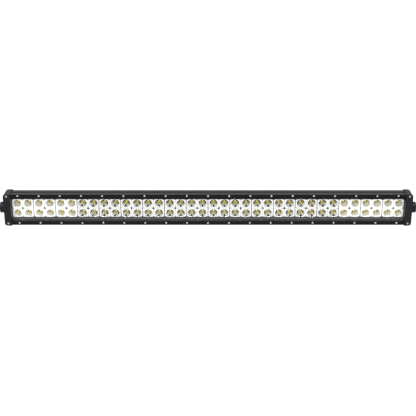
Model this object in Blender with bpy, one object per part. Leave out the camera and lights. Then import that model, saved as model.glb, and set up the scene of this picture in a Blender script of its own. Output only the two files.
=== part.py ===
"""LED light bar: an extruded housing with a clamped lens, 18 reflector modules and two bossed end caps.

Frame: +X along the bar, -Y is the lit front, +Z is up. The origin is under the middle of the bar, on the
plane that the caps stand on. The builders measure y back from the strips' front and z from the middle line.
"""

import math

import bmesh
import bpy

MM = 0.001
GAP = 0.3 * MM  # between pieces that touch
SHARP_ANGLE = math.radians(35)  # edges sharper than this stay sharp

# Sides of the polygons that stand for round shapes
SCREW_SIDES = 10
RECESS_SIDES = 12
PIPE_SIDES = 16
BOSS_SIDES = 24

# Reflector modules: two rows of cups, two cups long
CUP_PITCH_X = 25.0 * MM
CUP_PITCH_Z = 24.0 * MM
SPOT_MOUTH_R = 8.8 * MM
FLOOD_MOUTH_R = 8.0 * MM
CUP_DEPTH = 16.0 * MM
CUP_WALL = 0.8 * MM
CUP_SIDES = 10
HOLE_SIDES = 8
MODULE_RIM = 0.4 * MM  # plate left outside the widest cup
PLATE_THICK = 1.2 * MM
MODULES = 18
FLOODS_EACH_END = 3
BOARDS = 3

# Emitters and their boards
LED_SIDE = 5.0 * MM
LED_HEIGHT = 2.0 * MM
BOARD_THICK = 1.6 * MM

# Front frame and lens
STRIP_THICK = 6.0 * MM
STRIP_HEIGHT = 11.4 * MM
STRIP_BEVEL = 1.2 * MM
STRIP_SCREWS = 19
STRIP_SCREW_INSET_X = 16.8 * MM
STRIP_SCREW_INSET_Z = 5.0 * MM  # below the strip's outer edge
LENS_THICK = 3.0 * MM
LENS_LAP = 2.4 * MM  # lens hidden under the strips
LENS_SIDE_CLEARANCE = 0.5 * MM
LENS_GASKET_THICK = 1.2 * MM
LENS_GASKET_SHOWN = 2.0 * MM  # width seen inside the strips
LEDGE_SHOWN = 1.6 * MM  # housing ledge seen inside the gasket
REFLECTOR_SETBACK = 0.7 * MM  # behind the lens

# Housing extrusion
TRAY_CLEARANCE = 1.0 * MM  # beside the reflectors
STRIP_PROUD = 1.0 * MM  # strips above the housing
WEB_THICK = 2.5 * MM
CHAMBER_DEPTH = 10.0 * MM
CHAMBER_WALL = 2.6 * MM
SHOULDER_BEHIND_WEB = 1.8 * MM  # where the level top ends, from the web's front
REAR_HALF_Z = 18.0 * MM
FIN_LENGTH = 20.0 * MM
FIN_THICK = 1.5 * MM
FIN_PITCH = 6.6 * MM
LEAST_FIN = 4.0 * MM
OUTER_FIN_ROOT = 0.5 * MM  # behind the web, for the short outer fins
SCREW_GROOVE_DEPTH = 8.0 * MM
TOP_GROOVE_WIDTH = 3.0 * MM
TOP_GROOVE_DEPTH = 1.2 * MM
TOP_GROOVE_BEHIND_FLANGE = 7.0 * MM
PORT_WALL = 1.2 * MM  # beside the screw ports
REAR_PORT_SET_IN = 3.0 * MM  # ahead of the chamber's rear wall
HOLLOW_WALL = 3.0 * MM  # round the corner hollows

# End caps
CAP_SEAT = 10.2 * MM  # housing inside the cap's pocket
END_GASKET_THICK = 1.0 * MM
CAP_LENGTH = 16.0 * MM
CAP_PROUD = 1.4 * MM  # above and below the housing
CAP_FRONT_PROUD = 3.5 * MM  # in front of the strips
CAP_REAR_PROUD = 2.0 * MM
CAP_LEVEL_EXTRA = 2.5 * MM  # how much further back the cap stays level than the housing
CAP_ROUND = 5.0 * MM
CAP_SCREW_R = 2.0 * MM
CAP_SCREW_HEAD_R = 3.5 * MM
CAP_SCREW_HEAD = 1.8 * MM
CAP_SCREW_BITE = 8.0 * MM  # thread in the housing

# Screws through the strips and through the caps' front flanges
SCREW_R = 1.5 * MM
SCREW_HEAD_R = 2.75 * MM
SCREW_HEAD = 1.8 * MM
SCREW_RECESS_R = 3.6 * MM
SCREW_RECESS = 2.2 * MM
SCREW_BITE = 6.0 * MM
CAP_FRONT_SCREW_X = 8.3 * MM  # from the cap's inner face

# Mounting bosses and their M8 bolts
BOSS_Y = 17.0 * MM
BOSS_R = 12.8 * MM
BOSS_LENGTH = 11.0 * MM
BOSS_RECESS = 1.0 * MM
BOSS_RIM = 2.3 * MM
BOLT_R = 4.0 * MM
BOLT_BITE = 9.0 * MM  # thread in the boss
BOLT_TIP_ROOM = 1.2 * MM
BOLT_HEAD_ACROSS = 13.0 * MM
BOLT_HEAD = 5.3 * MM
WASHER_R = 10.0 * MM
WASHER_THICK = 1.6 * MM
SPRING_WASHER_WALL = 3.2 * MM
SPRING_WASHER_THICK = 2.0 * MM
SPRING_WASHER_SLIT = math.radians(14)

# Driver board
DRIVER_LENGTH = 180.0 * MM
DRIVER_TO_GLAND = 20.0 * MM
DRIVER_SLOT_DEPTH = 1.5 * MM
DRIVER_SLOT_BEHIND_WEB = 1.5 * MM
CAPACITOR_R = 5.0 * MM
COIL_R = 7.0 * MM
DRIVER_PART_END = 20.0 * MM  # from the board's end to its first part
DRIVER_PART_PITCH = 24.0 * MM
DRIVER_PART_ROOM = 1.2 * MM  # behind the parts

# Cable gland and vent, on faces milled into the fins
MILLED_INTO_WALL = 0.2 * MM
GLAND_FROM_END = 100.0 * MM
GLAND_ROOM = 2.5 * MM
GLAND_THREAD_R = 8.0 * MM
GLAND_FLANGE_R = 12.5 * MM
GLAND_FLANGE = 5.0 * MM
GLAND_NECK = 6.0 * MM
GLAND_WALL = 3.0 * MM
GLAND_TAIL = 3.0 * MM  # thread inside the chamber
SEAL_LENGTH = 5.0 * MM
CORD_HOLE_R = 3.5 * MM
NUT_WALL = 2.0 * MM
NUT_NOSE = 3.0 * MM
VENT_FROM_END = 100.0 * MM
VENT_THREAD_R = 4.0 * MM
VENT_HEAD_R = 7.0 * MM
VENT_HEAD = 5.0 * MM

# Heights above the middle line
MODULE_HALF_Z = CUP_PITCH_Z / 2 + SPOT_MOUTH_R + CUP_WALL + MODULE_RIM
TRAY_Z = MODULE_HALF_Z + TRAY_CLEARANCE
GASKET_INNER_Z = TRAY_Z + LEDGE_SHOWN
OPENING_Z = GASKET_INNER_Z + LENS_GASKET_SHOWN
LENS_Z = OPENING_Z + LENS_LAP
STEP_Z = LENS_Z + LENS_SIDE_CLEARANCE
STRIP_Z = OPENING_Z + STRIP_HEIGHT
STRIP_SCREW_Z = STRIP_Z - STRIP_SCREW_INSET_Z
TOP_Z = STRIP_Z - STRIP_PROUD
CAP_Z = TOP_Z + CAP_PROUD
CHAMBER_Z = TRAY_Z - CHAMBER_WALL

# Depths behind the strips' front face
FLANGE_Y = STRIP_THICK + GAP
LENS_BACK_Y = FLANGE_Y + LENS_THICK
LEDGE_Y = LENS_BACK_Y + GAP + LENS_GASKET_THICK + GAP
REFLECTOR_Y = LENS_BACK_Y + REFLECTOR_SETBACK
BOARD_Y = REFLECTOR_Y + CUP_DEPTH + GAP
WEB_Y = BOARD_Y + BOARD_THICK + GAP
CHAMBER_Y = WEB_Y + WEB_THICK
CHAMBER_BACK_Y = CHAMBER_Y + CHAMBER_DEPTH
FIN_ROOT_Y = CHAMBER_BACK_Y + CHAMBER_WALL
REAR_Y = FIN_ROOT_Y + FIN_LENGTH
SHOULDER_Y = WEB_Y + SHOULDER_BEHIND_WEB
OUTER_ROOT_Y = CHAMBER_Y + OUTER_FIN_ROOT
MILLED_Y = FIN_ROOT_Y - MILLED_INTO_WALL
CAP_REAR_Y = REAR_Y + CAP_REAR_PROUD

# Lengths from the middle of the bar
MODULE_PITCH = 2 * CUP_PITCH_X
FIELD_X = MODULES * MODULE_PITCH / 2
HOUSING_X = FIELD_X + CAP_SEAT
POCKET_X = HOUSING_X + GAP + END_GASKET_THICK + GAP
CAP_X = FIELD_X + CAP_LENGTH
BOSS_X = CAP_X + BOSS_LENGTH
GLAND_X = FIELD_X - GLAND_FROM_END
VENT_X = VENT_FROM_END - FIELD_X
DRIVER_END_X = GLAND_X - GLAND_THREAD_R - DRIVER_TO_GLAND

# Screw ports: (y, z) of the upper pair, which repeats below the middle line
PORT_R = CAP_SCREW_R + GAP
FRONT_PORT = (FLANGE_Y + SCREW_GROOVE_DEPTH + PORT_WALL + PORT_R, STEP_Z + PORT_WALL)
REAR_PORT = (CHAMBER_BACK_Y - REAR_PORT_SET_IN, CHAMBER_Z + PORT_WALL + PORT_R)

THROAT_R = (LED_SIDE / math.sqrt(2) + GAP) / math.cos(math.pi / CUP_SIDES)

# Finish: colour, roughness, metallic
FINISHES = {
    "black_powder_coat": ((0.012, 0.012, 0.013), 0.48, 0.0),
    "clear_polycarbonate": ((0.92, 0.94, 0.94), 0.05, 0.0),
    "grey_silicone": ((0.10, 0.10, 0.10), 0.70, 0.0),
    "bright_metallised_abs": ((0.90, 0.90, 0.89), 0.12, 1.0),
    "white_board_and_emitters": ((0.80, 0.78, 0.55), 0.50, 0.0),
    "green_circuit_board": ((0.02, 0.12, 0.05), 0.50, 0.0),
    "stainless_steel": ((0.62, 0.60, 0.56), 0.30, 1.0),
    "black_nylon": ((0.015, 0.015, 0.015), 0.55, 0.0),
    "black_rubber": ((0.010, 0.010, 0.010), 0.80, 0.0),
}


def clear_scene():
    for thing in list(bpy.data.objects):
        bpy.data.objects.remove(thing, do_unlink=True)


def finish_material(name):
    """The named finish as a Principled material, made once."""
    found = bpy.data.materials.get(name)
    if found:
        return found
    colour, roughness, metallic = FINISHES[name]
    made = bpy.data.materials.new(name)
    made.use_nodes = True
    shader = made.node_tree.nodes["Principled BSDF"]
    shader.inputs["Base Color"].default_value = (*colour, 1.0)
    shader.inputs["Roughness"].default_value = roughness
    shader.inputs["Metallic"].default_value = metallic
    return made


def add_empty(name, location, parent=None):
    empty = bpy.data.objects.new(name, None)
    empty.location = location
    empty.parent = parent
    bpy.context.scene.collection.objects.link(empty)
    return empty


def mesh_from(bm, name, smooth=False):
    bmesh.ops.recalc_face_normals(bm, faces=bm.faces)
    mesh = bpy.data.meshes.new(name)
    bm.to_mesh(mesh)
    bm.free()
    if smooth:
        mesh.shade_smooth()
        mesh.set_sharp_from_angle(angle=SHARP_ANGLE)
    return mesh


def add_object(name, mesh, parent, location=(0.0, 0.0, 0.0), turn=0.0):
    """Puts a mesh in the scene, turned about Z by the given angle."""
    made = bpy.data.objects.new(name, mesh)
    made.location = location
    made.rotation_euler = (0.0, 0.0, turn)
    made.parent = parent
    bpy.context.scene.collection.objects.link(made)
    return made


def add_piece(name, mesh, finish, parent, location=(0.0, 0.0, 0.0), turn=0.0):
    if not mesh.materials:
        mesh.materials.append(finish_material(finish))
    return add_object(name, mesh, parent, location, turn)


def add_tool(name, bm, parent, location=(0.0, 0.0, 0.0), turn=0.0):
    """A shape that only cuts or extends another piece."""
    tool = add_object(name, mesh_from(bm, name), parent, location, turn)
    tool.hide_render = True
    tool.display_type = "WIRE"
    return tool


def combine(piece, tool, operation):
    change = piece.modifiers.new(tool.name, "BOOLEAN")
    change.operation = operation
    change.solver = "EXACT"
    change.object = tool


def circle(y, z, radius, sides):
    """Points of a regular polygon round (y, z)."""
    steps = [2 * math.pi * (i + 0.5) / sides for i in range(sides)]
    return [(y + radius * math.cos(a), z + radius * math.sin(a)) for a in steps]


def rectangle(y0, y1, z0, z1):
    return [(y0, z0), (y1, z0), (y1, z1), (y0, z1)]


def mirrored(half):
    """Closes an upper half outline with its reflection in the middle line."""
    return half + [(y, -z) for y, z in reversed(half)]


def add_loop(bm, points):
    """A closed loop of edges through 3-D points."""
    verts = [bm.verts.new(p) for p in points]
    edges = [bm.edges.new(pair) for pair in zip(verts, verts[1:] + verts[:1])]
    return verts, edges


def extruded(outline, x_from, x_to, holes=()):
    """A solid: the (y, z) outline less its holes, carried along X."""
    bm = bmesh.new()
    edges = []
    for loop in (outline, *holes):
        edges += add_loop(bm, [(x_from, y, z) for y, z in loop])[1]
    bmesh.ops.triangle_fill(bm, edges=edges, use_beauty=True)
    grown = bmesh.ops.extrude_face_region(bm, geom=list(bm.faces))
    moved = [item for item in grown["geom"] if isinstance(item, bmesh.types.BMVert)]
    bmesh.ops.translate(bm, verts=moved, vec=(x_to - x_from, 0.0, 0.0))
    bmesh.ops.recalc_face_normals(bm, faces=bm.faces)
    return bm


def block(low, high):
    """A box between two corners."""
    return extruded(rectangle(low[1], high[1], low[2], high[2]), low[0], high[0])


def bridge(bm, ring_a, ring_b):
    """Faces between two rings, either of which may be a single point."""
    count = max(len(ring_a), len(ring_b))
    for i in range(count):
        j = (i + 1) % count
        corners = [ring_a[i % len(ring_a)], ring_a[j % len(ring_a)]]
        corners += [ring_b[j % len(ring_b)], ring_b[i % len(ring_b)]]
        bm.faces.new(dict.fromkeys(corners))


def add_turned(bm, profile, sides, centre=(0.0, 0.0)):
    """A body turned about the X line through centre, from (x, r) points.

    A profile that starts and ends with r = 0 is solid. Any other is a closed loop, and the body is a ring.
    """
    rings = []
    for x, radius in profile:
        points = circle(*centre, radius, sides) if radius else [centre]
        rings.append([bm.verts.new((x, y, z)) for y, z in points])
    following = rings[1:] if profile[0][1] == 0 else rings[1:] + rings[:1]
    for ring_a, ring_b in zip(rings, following):
        bridge(bm, ring_a, ring_b)


def turned(profile, sides):
    bm = bmesh.new()
    add_turned(bm, profile, sides)
    return bm


def rod_profile(x_from, x_to, radius):
    return [(x_from, 0.0), (x_from, radius), (x_to, radius), (x_to, 0.0)]


def tube_profile(x_from, x_to, inner, outer):
    return [(x_from, inner), (x_from, outer), (x_to, outer), (x_to, inner)]


def fin_envelope(z):
    """How far back the housing reaches at a height: level with the rear, then along the taper."""
    share = (TOP_Z - z) / (TOP_Z - REAR_HALF_Z)
    return min(REAR_Y, SHOULDER_Y + share * (REAR_Y - SHOULDER_Y))


def fin_comb():
    """The upper half's gaps between fins, from the outermost down to the middle line."""
    solid_z = REAR_PORT[1] + PORT_R + PORT_WALL / 2
    points = []
    for k in reversed(range(int(TOP_Z / FIN_PITCH))):
        low = k * FIN_PITCH + FIN_THICK / 2
        high = (k + 1) * FIN_PITCH - FIN_THICK / 2
        root = OUTER_ROOT_Y if low > solid_z else FIN_ROOT_Y
        if fin_envelope(high) - root < LEAST_FIN:
            continue
        points += [(fin_envelope(high), high), (root, high), (root, low), (fin_envelope(low), low)]
    return points


def housing_outline():
    groove_low = STRIP_SCREW_Z - SCREW_R - GAP
    groove_high = STRIP_SCREW_Z + SCREW_R + GAP
    groove_y = FLANGE_Y + SCREW_GROOVE_DEPTH
    top_groove_y = FLANGE_Y + TOP_GROOVE_BEHIND_FLANGE
    half = [(WEB_Y, TRAY_Z), (LEDGE_Y, TRAY_Z), (LEDGE_Y, STEP_Z), (FLANGE_Y, STEP_Z)]
    half += [(FLANGE_Y, groove_low), (groove_y, groove_low)]
    half += [(groove_y, groove_high), (FLANGE_Y, groove_high)]
    half += [(FLANGE_Y, TOP_Z), (top_groove_y, TOP_Z), (top_groove_y, TOP_Z - TOP_GROOVE_DEPTH)]
    half += [(top_groove_y + TOP_GROOVE_WIDTH, TOP_Z - TOP_GROOVE_DEPTH)]
    half += [(top_groove_y + TOP_GROOVE_WIDTH, TOP_Z), (SHOULDER_Y, TOP_Z)]
    return mirrored(half + fin_comb())


def chamber_outline():
    """The driver's chamber, with a slot in each side for the board's edges."""
    slot_y = CHAMBER_Y + DRIVER_SLOT_BEHIND_WEB
    slot_back_y = slot_y + BOARD_THICK + 2 * GAP
    slot_z = CHAMBER_Z + DRIVER_SLOT_DEPTH
    half = [(CHAMBER_Y, CHAMBER_Z), (slot_y, CHAMBER_Z), (slot_y, slot_z), (slot_back_y, slot_z)]
    half += [(slot_back_y, CHAMBER_Z), (CHAMBER_BACK_Y, CHAMBER_Z)]
    return mirrored(half)


def corner_hollow(side):
    """The hollow in each shoulder, behind the front screw port."""
    y_from = FRONT_PORT[0] + PORT_R + PORT_WALL
    y_to = OUTER_ROOT_Y - HOLLOW_WALL
    z_from = TRAY_Z + HOLLOW_WALL
    z_to = TOP_Z - HOLLOW_WALL
    return rectangle(y_from, y_to, side * z_from, side * z_to)


def port_places():
    return [(y, side * z) for y, z in (FRONT_PORT, REAR_PORT) for side in (1, -1)]


def milled_recess(x, half_x, half_z):
    """The space milled through the fins down to the chamber's rear wall."""
    beyond = REAR_Y + GAP
    return block((x - half_x, MILLED_Y, -half_z), (x + half_x, beyond, half_z))


def gap_between_fins(least):
    """The first height, at least this far from the middle line, that falls midway between two fins."""
    return (math.ceil(least / FIN_PITCH - 0.5) + 0.5) * FIN_PITCH


def add_housing(frame):
    holes = [chamber_outline(), corner_hollow(1), corner_hollow(-1)]
    holes += [circle(y, z, PORT_R, SCREW_SIDES) for y, z in port_places()]
    bm = extruded(housing_outline(), -HOUSING_X, HOUSING_X, holes)
    housing = add_piece("housing", mesh_from(bm, "housing"), "black_powder_coat", frame)
    for name, x, thread_r, head_r in (
        ("gland", GLAND_X, GLAND_THREAD_R, GLAND_FLANGE_R),
        ("vent", VENT_X, VENT_THREAD_R, VENT_HEAD_R),
    ):
        room = head_r + GLAND_ROOM
        recess = milled_recess(x, room, gap_between_fins(room))
        combine(housing, add_tool(f"{name}_recess_cutter", recess, frame), "DIFFERENCE")
        hole = turned(rod_profile(-2 * CHAMBER_WALL, CHAMBER_WALL, thread_r + GAP), PIPE_SIDES)
        place = (x, MILLED_Y, 0.0)
        combine(housing, add_tool(f"{name}_hole_cutter", hole, frame, place, math.pi / 2), "DIFFERENCE")


def stepped_hole_profile(outside, depth, radius, recess, recess_r):
    """A screw hole with a wider recess, drilled from x = 0 towards -X."""
    profile = [(outside, 0.0), (outside, recess_r), (-recess, recess_r)]
    return profile + [(-recess, radius), (-depth, radius), (-depth, 0.0)]


def front_hole_profile(thick):
    """A recessed screw hole right through a front piece of this thickness."""
    return stepped_hole_profile(MM, thick + MM, SCREW_R + GAP, SCREW_RECESS, SCREW_RECESS_R)


def strip_screw_places():
    reach = FIELD_X - STRIP_SCREW_INSET_X
    step = 2 * reach / (STRIP_SCREWS - 1)
    return [-reach + i * step for i in range(STRIP_SCREWS)]


def add_strip(name, side, frame):
    """One clamping strip. The holes' cutter lies along +X and is turned to face the front."""
    inner, outer, bevel = OPENING_Z, STRIP_Z, STRIP_BEVEL
    points = [(0.0, inner + bevel), (bevel, inner), (STRIP_THICK, inner)]
    points += [(STRIP_THICK, outer), (bevel, outer), (0.0, outer - bevel)]
    length = FIELD_X - GAP
    bm = extruded([(y, side * z) for y, z in points], -length, length)
    strip = add_piece(name, mesh_from(bm, name), "black_powder_coat", frame)
    holes = bmesh.new()
    profile = front_hole_profile(STRIP_THICK)
    for x in strip_screw_places():
        add_turned(holes, profile, HOLE_SIDES, centre=(x, side * STRIP_SCREW_Z))
    cutter = add_tool(f"{name}_hole_cutter", holes, frame, turn=-math.pi / 2)
    combine(strip, cutter, "DIFFERENCE")


def add_lens(frame):
    bm = block((-HOUSING_X, FLANGE_Y, -LENS_Z), (HOUSING_X, LENS_BACK_Y, LENS_Z))
    add_piece("lens", mesh_from(bm, "lens"), "clear_polycarbonate", frame)


def add_lens_gasket(frame):
    """A flat ring on the housing's ledge, its ends hidden behind the end caps."""
    outer = (HOUSING_X - GAP, LENS_Z)
    inner = (FIELD_X + GAP, GASKET_INNER_Z)
    loops = [rectangle(-x, x, -z, z) for x, z in (outer, inner)]
    bm = extruded(loops[0], 0.0, -LENS_GASKET_THICK, loops[1:])
    place = (0.0, LENS_BACK_Y + GAP, 0.0)
    mesh = mesh_from(bm, "lens_gasket")
    add_piece("lens_gasket", mesh, "grey_silicone", frame, place, -math.pi / 2)


def cup_places():
    """(x, z) of a module's four cups, from its centre."""
    signs = ((-1, -1), (1, -1), (1, 1), (-1, 1))
    return [(sx * CUP_PITCH_X / 2, sz * CUP_PITCH_Z / 2) for sx, sz in signs]


def reflector_mesh(name, mouth_r):
    """One moulding: a thin front plate with four cups behind it, open behind for the emitters."""
    bm = bmesh.new()
    half_x = MODULE_PITCH / 2 - GAP / 2
    corners = rectangle(-half_x, half_x, -MODULE_HALF_Z, MODULE_HALF_Z)
    plates = []
    for y, radius in ((0.0, mouth_r), (PLATE_THICK, mouth_r + CUP_WALL)):
        rim, edges = add_loop(bm, [(x, y, z) for x, z in corners])
        mouths = []
        for centre in cup_places():
            ring, more = add_loop(bm, [(x, y, z) for x, z in circle(*centre, radius, CUP_SIDES)])
            mouths.append(ring)
            edges += more
        bmesh.ops.triangle_fill(bm, edges=edges, use_beauty=True)
        plates.append((rim, mouths))
    bridge(bm, plates[0][0], plates[1][0])
    for centre, inner, outer in zip(cup_places(), plates[0][1], plates[1][1]):
        throat, edge = (
            [bm.verts.new((x, CUP_DEPTH, z)) for x, z in circle(*centre, radius, CUP_SIDES)]
            for radius in (THROAT_R, THROAT_R + CUP_WALL)
        )
        bridge(bm, inner, throat)
        bridge(bm, throat, edge)
        bridge(bm, edge, outer)
    return mesh_from(bm, name, smooth=True)


def reflector_names():
    floods = range(1, FLOODS_EACH_END + 1)
    spots = range(1, MODULES - 2 * FLOODS_EACH_END + 1)
    names = [f"flood_reflector_left_{i}" for i in floods]
    names += [f"spot_reflector_{i}" for i in spots]
    return names + [f"flood_reflector_right_{i}" for i in floods]


def module_centre(index):
    return -FIELD_X + (index + 0.5) * MODULE_PITCH


def add_reflectors(frame):
    flood = reflector_mesh("flood_reflector", FLOOD_MOUTH_R)
    spot = reflector_mesh("spot_reflector", SPOT_MOUTH_R)
    for index, name in enumerate(reflector_names()):
        mesh = flood if name.startswith("flood") else spot
        place = (module_centre(index), REFLECTOR_Y, 0.0)
        add_piece(name, mesh, "bright_metallised_abs", frame, place)


def add_led_boards(frame):
    """Boards that carry the emitters: square packages standing on the front face."""
    modules_each = MODULES // BOARDS
    half_length = modules_each * MODULE_PITCH / 2 - GAP / 2
    board = block((-half_length, 0.0, -MODULE_HALF_Z), (half_length, BOARD_THICK, MODULE_HALF_Z))
    mesh = mesh_from(board, "led_board")
    led_back = BOARD_THICK / 2  # sunk into the board, so that the two join
    led_middle = (led_back - LED_HEIGHT) / 2
    for index, name in enumerate(("led_board_left", "led_board_centre", "led_board_right")):
        place = (-FIELD_X + (index + 0.5) * modules_each * MODULE_PITCH, BOARD_Y, 0.0)
        piece = add_piece(name, mesh, "white_board_and_emitters", frame, place)
        leds = bmesh.new()
        for module in range(modules_each):
            centre = (module - (modules_each - 1) / 2) * MODULE_PITCH
            for x, z in cup_places():
                add_box(leds, (centre + x, led_middle, z), LED_SIDE, LED_HEIGHT + led_back)
        combine(piece, add_tool(f"{name}_emitters", leds, frame, place), "UNION")


def add_box(bm, centre, side, depth):
    """A box that is square seen from the front."""
    made = bmesh.ops.create_cube(bm, size=1.0)["verts"]
    bmesh.ops.scale(bm, verts=made, vec=(side, depth, side))
    bmesh.ops.translate(bm, verts=made, vec=centre)


def add_driver_board(frame):
    """The regulator, slid into the chamber's slots. Its parts stand on the rear face."""
    y = CHAMBER_Y + DRIVER_SLOT_BEHIND_WEB + GAP
    half_z = CHAMBER_Z + DRIVER_SLOT_DEPTH - GAP
    x_from, x_to = DRIVER_END_X - DRIVER_LENGTH, DRIVER_END_X
    bm = block((x_from, y, -half_z), (x_to, y + BOARD_THICK, half_z))
    board = add_piece("driver_board", mesh_from(bm, "driver_board"), "green_circuit_board", frame)
    parts_from, parts_to = y + BOARD_THICK / 2, CHAMBER_BACK_Y - DRIVER_PART_ROOM
    parts = bmesh.new()
    for end, inward, radius in ((x_from, 1, CAPACITOR_R), (x_to, -1, COIL_R)):
        profile = rod_profile(-parts_to, -parts_from, radius)
        for number in range(2):
            x = end + inward * (DRIVER_PART_END + number * DRIVER_PART_PITCH)
            add_turned(parts, profile, RECESS_SIDES, centre=(x, 0.0))
    tool = add_tool("driver_board_parts", parts, frame, turn=-math.pi / 2)
    combine(board, tool, "UNION")


def envelope_outline(front_y, clearance):
    """The housing's outer shape without its grooves and fins, grown by a clearance."""
    run, rise = REAR_Y - SHOULDER_Y, TOP_Z - REAR_HALF_Z
    slant = math.hypot(run, rise)
    shoulder_y = SHOULDER_Y + clearance * (slant - run) / rise
    rear_z = REAR_HALF_Z + clearance * (slant - rise) / run
    half = [(front_y, TOP_Z + clearance), (shoulder_y, TOP_Z + clearance)]
    return mirrored(half + [(REAR_Y + clearance, rear_z)])


def cap_outline():
    half = [(-CAP_FRONT_PROUD, CAP_Z), (SHOULDER_Y + CAP_LEVEL_EXTRA, CAP_Z)]
    return mirrored(half + [(CAP_REAR_Y, REAR_HALF_Z + CAP_REAR_PROUD)])


def cap_block(side):
    """The cap's outer shape, its edges rounded on the far side except along the front."""
    bm = extruded(cap_outline(), side * FIELD_X, side * CAP_X)
    bmesh.ops.dissolve_limit(bm, angle_limit=math.radians(1), verts=bm.verts, edges=bm.edges)
    rounded = []
    for edge in bm.edges:
        on_far_side = all(abs(v.co.x - side * CAP_X) < GAP for v in edge.verts)
        if on_far_side and max(v.co.y for v in edge.verts) > GAP - CAP_FRONT_PROUD:
            rounded.append(edge)
    bmesh.ops.bevel(bm, geom=rounded, offset=CAP_ROUND, segments=3, profile=0.5, affect="EDGES")
    return bm


def add_boss(cap, side, frame):
    """The round boss on the cap's outer face, and its blind bore with a recessed seat for the washer."""
    place = (side * BOSS_X, BOSS_Y, 0.0)
    turn = 0.0 if side > 0 else math.pi
    boss = turned(rod_profile(-BOSS_LENGTH - MM, 0.0, BOSS_R), BOSS_SIDES)
    combine(cap, add_tool(f"{cap.name}_boss", boss, frame, place, turn), "UNION")
    depth = BOSS_RECESS + BOLT_BITE + BOLT_TIP_ROOM
    profile = stepped_hole_profile(MM, depth, BOLT_R + GAP, BOSS_RECESS, BOSS_R - BOSS_RIM)
    bore = turned(profile, BOSS_SIDES)
    combine(cap, add_tool(f"{cap.name}_bore_cutter", bore, frame, place, turn), "DIFFERENCE")


def cut_side_holes(cap, side, frame):
    """The four recessed holes for the screws that hold the cap on."""
    head_room = CAP_SCREW_HEAD_R + GAP
    profile = stepped_hole_profile(MM, CAP_LENGTH, PORT_R, CAP_SCREW_HEAD + GAP, head_room)
    holes = bmesh.new()
    for place in port_places():
        add_turned(holes, [(side * (CAP_X + x), r) for x, r in profile], RECESS_SIDES, centre=place)
    combine(cap, add_tool(f"{cap.name}_side_hole_cutter", holes, frame), "DIFFERENCE")


def cut_front_holes(cap, side, frame):
    """The two recessed holes in the cap's front flange."""
    profile = front_hole_profile(CAP_FRONT_PROUD + STRIP_THICK)
    holes = bmesh.new()
    for z in (STRIP_SCREW_Z, -STRIP_SCREW_Z):
        add_turned(holes, profile, RECESS_SIDES, centre=(side * (FIELD_X + CAP_FRONT_SCREW_X), z))
    place = (0.0, -CAP_FRONT_PROUD, 0.0)
    tool = add_tool(f"{cap.name}_front_hole_cutter", holes, frame, place, -math.pi / 2)
    combine(cap, tool, "DIFFERENCE")


def add_cap(name, side, frame):
    """An end cap: a pocket takes the housing's end, and a flange in front covers the ends of the lens."""
    cap = add_piece(name, mesh_from(cap_block(side), name, smooth=True), "black_powder_coat", frame)
    add_boss(cap, side, frame)
    pocket = extruded(envelope_outline(STRIP_THICK, GAP), side * (FIELD_X - MM), side * POCKET_X)
    combine(cap, add_tool(f"{name}_pocket_cutter", pocket, frame), "DIFFERENCE")
    cut_side_holes(cap, side, frame)
    cut_front_holes(cap, side, frame)


def add_end_gasket(name, side, frame):
    """Between the housing's end and the pocket's floor, with holes for the cap screws."""
    inside = HOUSING_X + GAP
    outside = inside + END_GASKET_THICK
    holes = [circle(y, z, PORT_R, SCREW_SIDES) for y, z in port_places()]
    bm = extruded(envelope_outline(FLANGE_Y, 0.0), side * inside, side * outside, holes)
    add_piece(name, mesh_from(bm, name), "black_rubber", frame)


def screw_mesh(name, radius, head_r, head, length):
    """A pan-head screw along X, its head's seat at x = 0 and its thread towards -X."""
    profile = [(-length, 0.0), (-length, radius), (0.0, radius), (0.0, head_r)]
    profile += [(head * 0.6, head_r), (head, head_r * 0.6), (head, 0.0)]
    return mesh_from(turned(profile, SCREW_SIDES), name, smooth=True)


def add_screws(frame):
    """Four screws into the housing's ports and two through the front flange, for each cap."""
    seat_x = CAP_X - CAP_SCREW_HEAD
    length = seat_x - HOUSING_X + CAP_SCREW_BITE
    side_screw = screw_mesh("cap_side_screw", CAP_SCREW_R, CAP_SCREW_HEAD_R, CAP_SCREW_HEAD, length)
    seat_y = SCREW_RECESS - CAP_FRONT_PROUD - GAP
    length = FLANGE_Y + SCREW_BITE - seat_y
    front_screw = screw_mesh("cap_front_screw", SCREW_R, SCREW_HEAD_R, SCREW_HEAD, length)
    for word, side in (("left", -1), ("right", 1)):
        turn = 0.0 if side > 0 else math.pi
        for number, (y, z) in enumerate(port_places(), 1):
            name = f"cap_side_screw_{word}_{number}"
            add_piece(name, side_screw, "stainless_steel", frame, (side * seat_x, y, z), turn)
        for level, z in (("top", STRIP_SCREW_Z), ("bottom", -STRIP_SCREW_Z)):
            place = (side * (FIELD_X + CAP_FRONT_SCREW_X), seat_y, z)
            name = f"cap_front_screw_{word}_{level}"
            add_piece(name, front_screw, "stainless_steel", frame, place, -math.pi / 2)


def split_ring(inner, outer, thick, slit):
    """A ring of square section with a slit cut across it."""
    bm = bmesh.new()
    rings = []
    for i in range(BOSS_SIDES + 1):
        a = slit / 2 + i * (2 * math.pi - slit) / BOSS_SIDES
        section = ((0.0, inner), (0.0, outer), (thick, outer), (thick, inner))
        rings.append([bm.verts.new((x, r * math.cos(a), r * math.sin(a))) for x, r in section])
    for ring_a, ring_b in zip(rings, rings[1:]):
        bridge(bm, ring_a, ring_b)
    bm.faces.new(rings[0])
    bm.faces.new(rings[-1])
    return bm


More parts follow.
